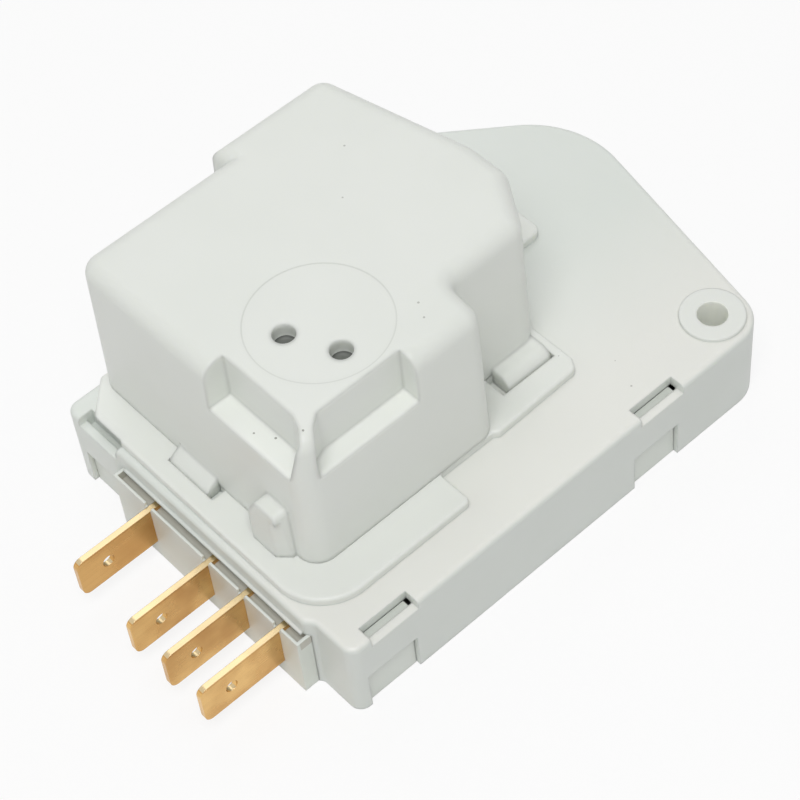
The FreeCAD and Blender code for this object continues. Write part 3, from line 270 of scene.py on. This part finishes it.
def housing_tones(recipe):
    """Painted light on the platform, on the level plate along the long side and in the screw hole; painted
    shade on the wall below it.
    """
    front = recipe.ramp(recipe.along("Y", FRONT_CORNER.y / MM) * 0.02, (0.15, 1.0), (0.55, 0.0))
    low = recipe.along("Z") < JUST_ABOVE_PLATE
    level = recipe.ramp(recipe.facing_up(), (0.45, 0.0), (0.95, 1.0))
    in_hole = recipe.apart(*SCREW_HOLE) < SCREW_HOLE_WALL
    # painted light: all above the plate, the level plate at the front and the screw hole's wall are
    # lighter; painted shade: the front walls are darker
    return [(1 - low, (0.770, 0.790, 0.750)), (front * low * (1 - level) * 0.7, (0.665, 0.692, 0.655)),
            (front * low * level, (0.785, 0.790, 0.747)), (in_hole, (0.95, 0.97, 0.90))]


def cap_tones(recipe):
    """Painted shade on the floors of the two round holes, painted light on the level tops of the corner
    ledges, a faint ring and three dots.
    """
    first, second = [recipe.apart(x, y) < ROUND_HOLE_WALL for x, y in ROUND_HOLES]
    # painted shade: the floors of the round holes are dark
    floors = (first + second) * recipe.between("Z", *ROUND_HOLE_FLOORS)
    # painted light: the level tops of the corner ledges are paler
    ledges = (recipe.facing_up() > 0.9) * recipe.between("Z", *CORNER_LEDGES)
    mark = recipe.ring(*RING_MARK) * (recipe.along("Z") > NEAR_CAP_TOP)
    tones = [(mark * 0.30, (0.50, 0.52, 0.48)), (ledges, (0.825, 0.845, 0.805)),
             (floors, (0.16, 0.17, 0.155))]
    for x, y, radius in SMALL_DOTS:
        dot = (recipe.apart(x, y) < radius) * (recipe.along("Z") > ABOVE_CORNER_LEDGES)
        tones.append((dot * 0.75, (0.22, 0.22, 0.19)))
    return tones


def block_tones(recipe):
    """Painted shade in the groove behind the lip and on the tops of the snap arms."""
    behind_lip = recipe.along("X", FRONT_CORNER.x / MM) > LIP_BACK
    # painted shade: the groove behind the lip is darker
    groove = recipe.between("Z", *GROOVE_WALLS) * behind_lip
    # painted shade: the tops of the snap arms are darker
    arms = recipe.along("Z") > SNAP_ARM_TOPS
    return [(groove, (0.56, 0.55, 0.49)), (arms, (0.60, 0.63, 0.58))]


print("places with their own tone: housing, cap, block")

# %% [markdown]
# Pins that push the moulding out of its tool leave shallow rings. Each one is
# given as its place in plan, its radius and half the width of its line.

# %% The plastics
EJECTOR_MARKS = [(56.0, 7.6, 2.15, 0.10), (57.5, 24.0, 1.6, 0.08), (40.0, 6.4, 1.6, 0.08)]
UNDERSIDE_MARKS = [(10.0, 10.0, 2.0, 0.09), (10.0, 42.0, 2.0, 0.09), (38.0, 8.0, 2.0, 0.09),
                   (38.0, 46.0, 2.0, 0.09), (52.0, 20.0, 2.0, 0.09), (27.0, 27.0, 1.2, 0.09)]
housing_white = moulded_plastic("housing_plastic", (0.730, 0.764, 0.726), (0.712, 0.747, 0.706),
                                0.33, 0.035, 0.40, 0.0, EJECTOR_MARKS, housing_tones)
cap_white = moulded_plastic("cap_plastic", (0.763, 0.784, 0.744), (0.748, 0.772, 0.728),
                            0.31, 0.042, 1.0, 3.0, shade_in=cap_tones)
block_white = moulded_plastic("block_plastic", (0.73, 0.76, 0.71), (0.70, 0.735, 0.68),
                              0.36, 0.03, 0.12, 7.0, UNDERSIDE_MARKS, block_tones)
for resin in (housing_white, cap_white, block_white):
    let_light_in(resin, 0.30, 1.2)
gear_white = moulded_plastic("gear_plastic", (0.74, 0.72, 0.66), (0.70, 0.68, 0.62), 0.42, 0.0, 0.05, 11.0)
cam_blue = moulded_plastic("cam_plastic", (0.05, 0.13, 0.30), (0.04, 0.11, 0.26), 0.40, 0.0, 0.08, 13.0)
bobbin_black = moulded_plastic("bobbin_plastic", (0.020, 0.020, 0.022), (0.03, 0.03, 0.03),
                               0.45, 0.0, 0.1, 17.0)
magnet_dark = moulded_plastic("magnet_ferrite", (0.030, 0.028, 0.027), (0.05, 0.045, 0.04),
                              0.6, 0.0, 0.1, 19.0)
wire_black = moulded_plastic("wire_cover", (0.018, 0.018, 0.02), (0.03, 0.03, 0.03), 0.38, 0.0, 0.0, 23.0)
print("plastics made")


# %% [markdown]
# The tabs are stamped from brass strip. Rolling leaves fine lines along the
# strip, and air dulls it in soft patches towards copper. A stretched noise
# gives the lines, a broad one the patches. The level tops get a paler painted
# highlight with a thin painted shade line below it, and the tab beside the
# corner gets painted shade.

# %% Stamped brass and other metals
SHADED_TAB_FROM = 30
LINE_UNDER_EDGE = (9.0, 9.25)


def stamped_metal(name, colour, tarnish_and_shade, roughness=0.25, along=(0.05, 3.0, 3.0), edge_mm=0.08, seed=0.0,
                  painted_top_highlight=None):
    """Rolled or drawn metal; along stretches its lines. A given top tone is a painted highlight on level
    tops, with painted shade on a line below them and on the tabs further back.
    """
    recipe = Recipe(name)
    lines = recipe.noise(1.6, 3.0, along, seed)
    patches = recipe.noise(0.16, 2.0, offset=seed + 5)
    pits = recipe.noise(4.0, 1.0, offset=seed + 8)
    tarnish = recipe.ramp(patches, (0.38, 0.0), (0.66, 1.0))
    shade = recipe.blend(0.65 * tarnish, colour, tarnish_and_shade)
    shade = recipe.blend(0.18 * recipe.ramp(lines, (0.45, 0.0), (0.75, 1.0)), shade, tarnish_and_shade)
    if painted_top_highlight:
        # painted shade: tabs further back take part of the dull tone
        shaded_tab = recipe.along("Y", FRONT_CORNER.y / MM) > SHADED_TAB_FROM
        shade = recipe.blend(shaded_tab * 0.4, shade, tarnish_and_shade)
        # painted highlight: the level tops of the tabs take a paler tone
        top = recipe.facing_up() > 0.8
        # painted shade: a thin dark line just below the tops
        line = recipe.between("Z", *LINE_UNDER_EDGE) * (1 - top)
        shade = recipe.blend(top * 0.9, shade, painted_top_highlight)
        shade = recipe.blend(line * 0.55, shade, tarnish_and_shade)
    gloss = roughness + 0.08 * tarnish + 0.06 * lines
    normal = recipe.relief(lines + 0.3 * pits, 0.010, 0.35, edge_mm)
    return recipe.finish(Base_Color=shade, Roughness=gloss, Normal=normal, Metallic=1.0)


brass = stamped_metal("tab_brass", (0.81, 0.52, 0.20), (0.50, 0.25, 0.07), 0.20, edge_mm=0.10,
                      painted_top_highlight=(0.62, 0.50, 0.30))
spring_bronze = stamped_metal("blade_bronze", (0.78, 0.45, 0.22), (0.55, 0.28, 0.12), 0.28, seed=3.0)
contact_silver = stamped_metal("contact_silver", (0.82, 0.81, 0.78), (0.55, 0.54, 0.52),
                               0.22, (2, 2, 2), seed=5.0)
stator_steel = stamped_metal("stator_steel", (0.52, 0.52, 0.52), (0.38, 0.37, 0.36),
                             0.34, (1, 1, 0.1), seed=7.0)
pin_steel = stamped_metal("pin_steel", (0.66, 0.66, 0.67), (0.5, 0.5, 0.5), 0.16, (3, 3, 0.05), 0.0, 9.0)
copper_wire = stamped_metal("copper_enamel", (0.55, 0.17, 0.06), (0.40, 0.11, 0.04),
                            0.22, (2, 2, 4), 0.0, 11.0)
print("metals made")

# %% [markdown]
# Each CAD piece keeps its shape and takes one of these finishes.

# %% Dress the pieces
finishes = {
    housing_white: ["gear_housing"],
    cap_white: ["motor_cover"],
    block_white: ["base_cover"],
    brass: ["terminal_1", "terminal_2", "terminal_3", "terminal_4", "heater_rivet", "common_rivet",
            "compressor_rivet"],
    spring_bronze: ["heater_blade", "common_blade", "compressor_blade"],
    contact_silver: ["heater_contact", "common_contact", "compressor_contact"],
    stator_steel: ["stator_cup", "stator_plate"],
    pin_steel: ["rotor_pin", "pawl_pin", "axle_pin_1", "axle_pin_2", "axle_pin_3"],
    copper_wire: ["coil_winding"],
    bobbin_black: ["coil_bobbin"],
    magnet_dark: ["rotor_magnet"],
    gear_white: ["rotor_hub", "no_back_pawl", "gear_1", "gear_2", "gear_3", "gear_4", "gear_5", "cam_gear"],
    cam_blue: ["timing_cam"],
    wire_black: ["lead_wire_1", "lead_wire_2"],
}
for finish, names in finishes.items():
    for name in names:
        mesh = nodes[name].data
        mesh.materials.clear()
        mesh.materials.append(finish)
print("dressed:", sum(len(names) for names in finishes.values()))

# %% [markdown]
# The coil is thousands of turns of enamelled wire. Geometry Nodes repeat one
# ring up the bobbin, which shows the layered turns without drawing each one.

# %% Coil turns
coil_low, coil_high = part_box("coil_winding")
coil_centre = (Vector(coil_low) + Vector(coil_high)) / 2
coil_radius = (coil_high[0] - coil_low[0]) / 2
coil_height = coil_high[2] - coil_low[2]


def ring_stack(name, radius, wire, height, material):
    """A stack of wire rings, as a Geometry Nodes tree turned into a mesh."""
    tree = bpy.data.node_groups.new(name + "_tree", "GeometryNodeTree")
    tree.interface.new_socket("Geometry", in_out="OUTPUT", socket_type="NodeSocketGeometry")
    inputs = {"Radius": radius, "Wire": wire, "Height": height}
    for label in inputs:
        tree.interface.new_socket(label, in_out="INPUT", socket_type="NodeSocketFloat")
    source = tree.nodes.new("NodeGroupInput")

    def add(kind, settings=(), **links):
        made = tree.nodes.new(kind)
        for key, value in dict(settings).items():
            setattr(made, key, value)
        for key, value in links.items():
            socket = made.inputs[key.replace("_", " ")]
            if isinstance(value, bpy.types.NodeSocket):
                tree.links.new(value, socket)
            else:
                socket.default_value = value
        return made

    def maths(operation, first, second):
        made = tree.nodes.new("ShaderNodeMath")
        made.operation = operation
        for socket, value in zip(made.inputs, (first, second)):
            if isinstance(value, bpy.types.NodeSocket):
                tree.links.new(value, socket)
            else:
                socket.default_value = value
        return made.outputs[0]

    pitch = maths("MULTIPLY", source.outputs["Wire"], 2.0)
    count = maths("FLOOR", maths("DIVIDE", source.outputs["Height"], pitch), 0.0)
    path = maths("SUBTRACT", source.outputs["Radius"], source.outputs["Wire"])
    ring = add("GeometryNodeCurvePrimitiveCircle", {"mode": "RADIUS"}, Resolution=72, Radius=path)
    section = add("GeometryNodeCurvePrimitiveCircle", {"mode": "RADIUS"}, Resolution=6,
                  Radius=source.outputs["Wire"])
    turn = add("GeometryNodeCurveToMesh", {}, Curve=ring.outputs[0], Profile_Curve=section.outputs[0])
    step = add("ShaderNodeCombineXYZ", {}, Z=pitch)
    column = add("GeometryNodeMeshLine", {"mode": "OFFSET"}, Count=count, Offset=step.outputs[0])
    copies = add("GeometryNodeInstanceOnPoints", {}, Points=column.outputs[0], Instance=turn.outputs[0])
    real = add("GeometryNodeRealizeInstances", {}, Geometry=copies.outputs[0])
    painted = add("GeometryNodeSetMaterial", {}, Geometry=real.outputs[0], Material=material)
    smooth = add("GeometryNodeSetShadeSmooth", {}, Geometry=painted.outputs[0])
    out = tree.nodes.new("NodeGroupOutput")
    tree.links.new(smooth.outputs[0], out.inputs[0])

    holder = bpy.data.objects.new(name, bpy.data.meshes.new(name))
    bpy.context.collection.objects.link(holder)
    modifier = holder.modifiers.new("Turns", "NODES")
    modifier.node_group = tree
    for item in tree.interface.items_tree:
        if item.in_out == "INPUT":
            modifier[item.identifier] = inputs[item.name]
    evaluated = holder.evaluated_get(bpy.context.evaluated_depsgraph_get())
    plain = bpy.data.meshes.new_from_object(evaluated)
    holder.modifiers.clear()
    holder.data = plain
    return holder


wire_radius = 0.13 * MM
turns = ring_stack("coil_turns", coil_radius, wire_radius, coil_height, copper_wire)
turns.data.transform(Matrix.Translation((coil_centre.x, coil_centre.y, coil_low[2] + wire_radius)))
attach(turns, "housing")
print("coil turns:", len(turns.data.vertices), "points")

# %% [markdown]
# The timer lies on a pale sheet under a broad soft lamp and a weaker one behind
# it, with an even sky around, so that its walls are only a little darker than
# its top. Floor and sky look white to the camera and in reflections, but the
# floor keeps the shadow under the housing.

# %% Floor
floor_mesh = bpy.data.meshes.new("floor")
floor_mesh.from_pydata([(-3, -3, 0), (3, -3, 0), (3, 3, 0), (-3, 3, 0)], [], [(0, 1, 2, 3)])
JUST_BELOW = 0.05 * MM
floor = bpy.data.objects.new("floor", floor_mesh)
bpy.context.collection.objects.link(floor)
floor.location.z = solid_box[0][2] - JUST_BELOW
paper = Recipe("floor_paper")
fibre = paper.noise(0.8, 3.0)
paper.finish(Base_Color=paper.blend(fibre, (0.86, 0.86, 0.86), (0.89, 0.89, 0.89)), Roughness=0.9)
seen = paper.node("ShaderNodeLightPath", {}, {}, "Is Camera Ray") * 0.82
mirrored = (paper.node("ShaderNodeLightPath", {}, {}, "Is Glossy Ray")
            + paper.node("ShaderNodeLightPath", {}, {}, "Is Transmission Ray"))
glow = paper.node("ShaderNodeEmission", {}, {"Color": (1, 1, 1, 1), "Strength": 1.0})
mixed = paper.node("ShaderNodeMixShader", {}, {0: seen + mirrored * 0.5, 2: glow})
paper.tree.links.new(paper.shader.outputs[0], mixed.socket.node.inputs[1])
paper.tree.links.new(mixed.socket, paper.tree.nodes["Material Output"].inputs["Surface"])
floor_mesh.materials.append(paper.material)
print("floor at", round(floor.location.z / MM, 2), "mm")

# %% Sky and lamps
SKY_LIGHT = 0.42
SKY_SEEN = 1.0
world = bpy.data.worlds.new("soft_sky")
bpy.context.scene.world = world
world.use_nodes = True
sky = world.node_tree
background = sky.nodes["Background"]
background.inputs["Color"].default_value = (1.0, 1.0, 1.0, 1.0)
path = sky.nodes.new("ShaderNodeLightPath")
level = sky.nodes.new("ShaderNodeMix")
level.inputs[2].default_value = SKY_LIGHT
level.inputs[3].default_value = SKY_SEEN
share = path.outputs["Is Camera Ray"]
for kind in ("Is Glossy Ray", "Is Transmission Ray"):
    larger = sky.nodes.new("ShaderNodeMath")
    larger.operation = "MAXIMUM"
    sky.links.new(share, larger.inputs[0])
    sky.links.new(path.outputs[kind], larger.inputs[1])
    share = larger.outputs[0]
sky.links.new(share, level.inputs[0])
sky.links.new(level.outputs[0], background.inputs["Strength"])


def soft_lamp(name, centre, target, size, power):
    """A square lamp that faces its target."""
    light = bpy.data.lights.new(name, "AREA")
    light.shape = "SQUARE"
    light.size = size
    light.energy = power
    lamp = bpy.data.objects.new(name, light)
    lamp.location = centre
    lamp.rotation_euler = (Vector(target) - Vector(centre)).to_track_quat("-Z", "Y").to_euler()
    bpy.context.collection.objects.link(lamp)
    return lamp


middle = on_part(32, 27, 15)
soft_lamp("top_lamp", middle + Vector((-0.21, -0.21, 0.69)), middle, 0.36, 2.9)
soft_lamp("back_lamp", middle + Vector((0.17, 0.32, 0.52)), middle, 0.34, 0.40)
print("sky and two lamps")

# %% [markdown]
# The camera was solved from the photograph: the corners of the housing and the
# cap, whose sizes are known, were matched to their places in the picture.

# %% Camera
camera_data = bpy.data.cameras.new("photo_camera")
camera_data.sensor_fit = "HORIZONTAL"
camera_data.sensor_width = 36.0
camera_data.lens = 107.101
camera_data.clip_start = 0.01
camera = bpy.data.objects.new("photo_camera", camera_data)
camera.location = (-0.14340513, -0.12440759, 0.24140128)
camera.rotation_euler = tuple(math.radians(a) for a in (37.75557, 4.118513, -42.314408))
bpy.context.collection.objects.link(camera)
bpy.context.scene.camera = camera
bpy.context.scene.view_settings.view_transform = "Standard"
print("camera lens:", camera_data.lens)
